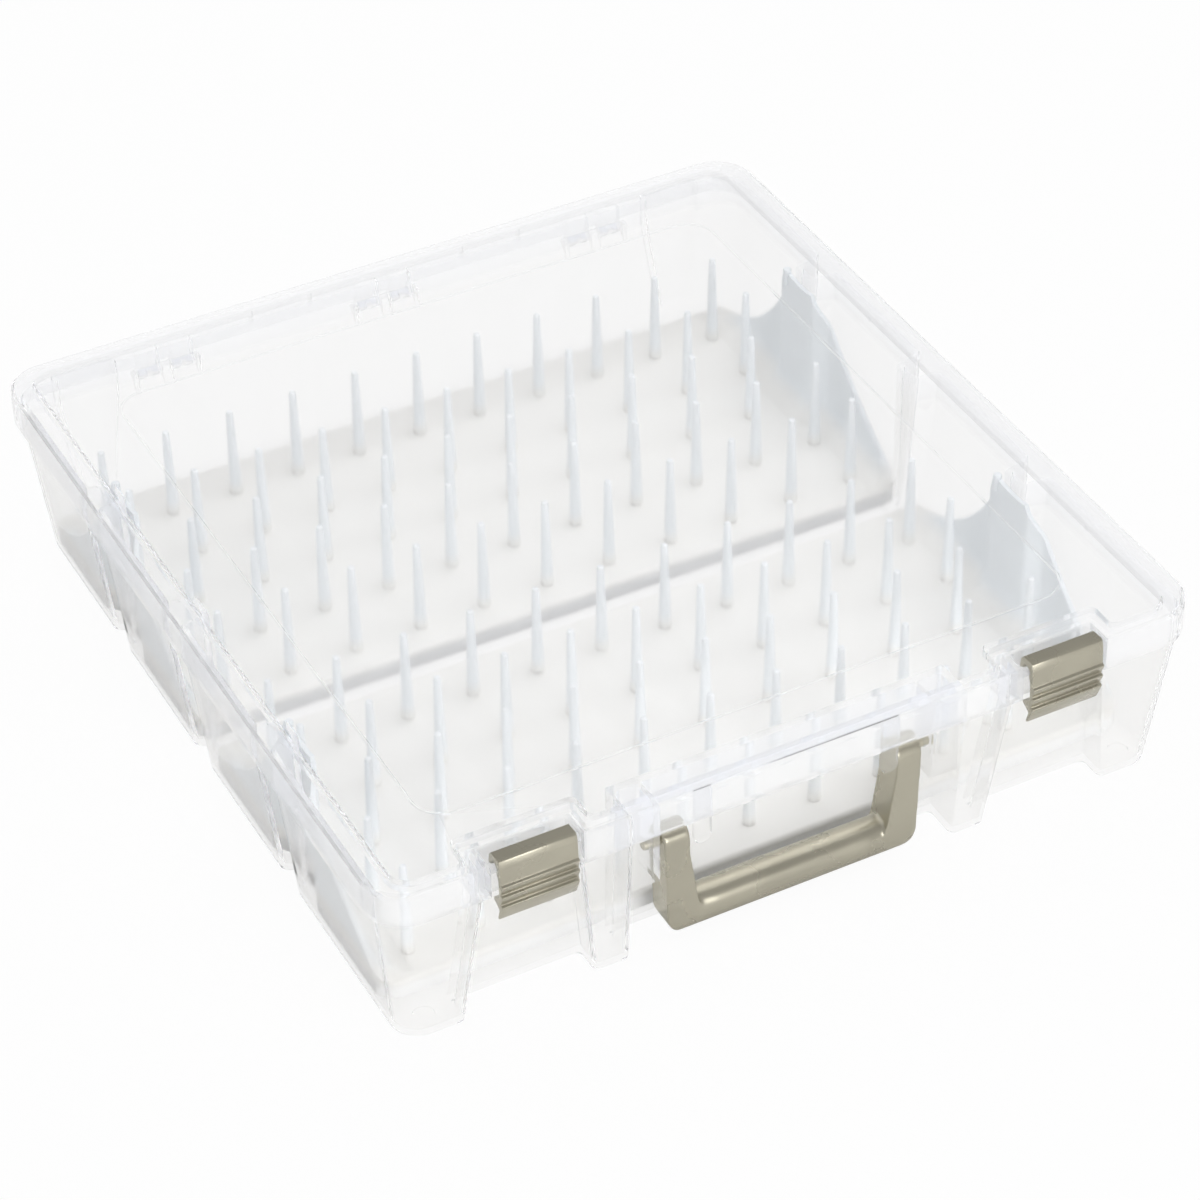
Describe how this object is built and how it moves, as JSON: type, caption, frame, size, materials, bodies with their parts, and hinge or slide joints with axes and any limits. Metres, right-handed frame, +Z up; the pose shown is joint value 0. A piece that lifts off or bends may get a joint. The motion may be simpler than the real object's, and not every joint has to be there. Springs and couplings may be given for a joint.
{
  "type": "thread spool storage box",
  "caption": "Flat clear plastic satchel box with a hinged lid, two front latches, a swinging carry handle and two lift-out trays of upright spool pins.",
  "frame": {"origin": "middle of the plane the box stands on, under the middle of the tray box foot, which is the closed foot ring", "axes": "+X right along the front that carries the latches and handle, +Y from the front to the hinge side, +Z up"},
  "size_m": [0.368, 0.3913, 0.0865],
  "materials": {
    "clear_plastic": "clear, glossy injection-moulded polypropylene",
    "frosted_plastic": "milky translucent polypropylene with a satin surface",
    "taupe_plastic": "satin opaque polypropylene, warm grey-green taupe"
  },
  "bodies": {
    "box_body": {"tray_box": "clear_plastic"},
    "lid_body": {"lid": "clear_plastic"},
    "handle_body": {"handle": "taupe_plastic"},
    "latch_left_body": {"latch_left": "taupe_plastic"},
    "latch_right_body": {"latch_right": "taupe_plastic"},
    "tray_back_body": {"thread_tray_back": "frosted_plastic", "tray_back_end_left": "frosted_plastic", "tray_back_end_right": "frosted_plastic"},
    "tray_front_body": {"thread_tray_front": "frosted_plastic", "tray_front_end_left": "frosted_plastic", "tray_front_end_right": "frosted_plastic"}
  },
  "joints": [
    {"name": "lid_hinge", "type": "hinge", "parent": "box_body", "child": "lid_body", "pos_m": [0, 0.19015, 0.067], "axis": [-1, 0, 0], "range_deg": [0, 110]},
    {"name": "handle_swing", "type": "hinge", "parent": "box_body", "child": "handle_body", "pos_m": [0, -0.178, 0.052], "axis": [-1, 0, 0], "range_deg": [0, 110]},
    {"name": "latch_left_turn", "type": "hinge", "parent": "lid_body", "child": "latch_left_body", "pos_m": [-0.1182, -0.19085, 0.082], "axis": [-1, 0, 0], "range_deg": [0, 100]},
    {"name": "latch_right_turn", "type": "hinge", "parent": "lid_body", "child": "latch_right_body", "pos_m": [0.1182, -0.19085, 0.082], "axis": [-1, 0, 0], "range_deg": [0, 100]},
    {"name": "tray_back_lift", "type": "slide", "parent": "box_body", "child": "tray_back_body", "axis": [0, 0, 1], "range_m": [0, 0.0025]},
    {"name": "tray_front_lift", "type": "slide", "parent": "box_body", "child": "tray_front_body", "axis": [0, 0, 1], "range_m": [0, 0.0025]}
  ]
}
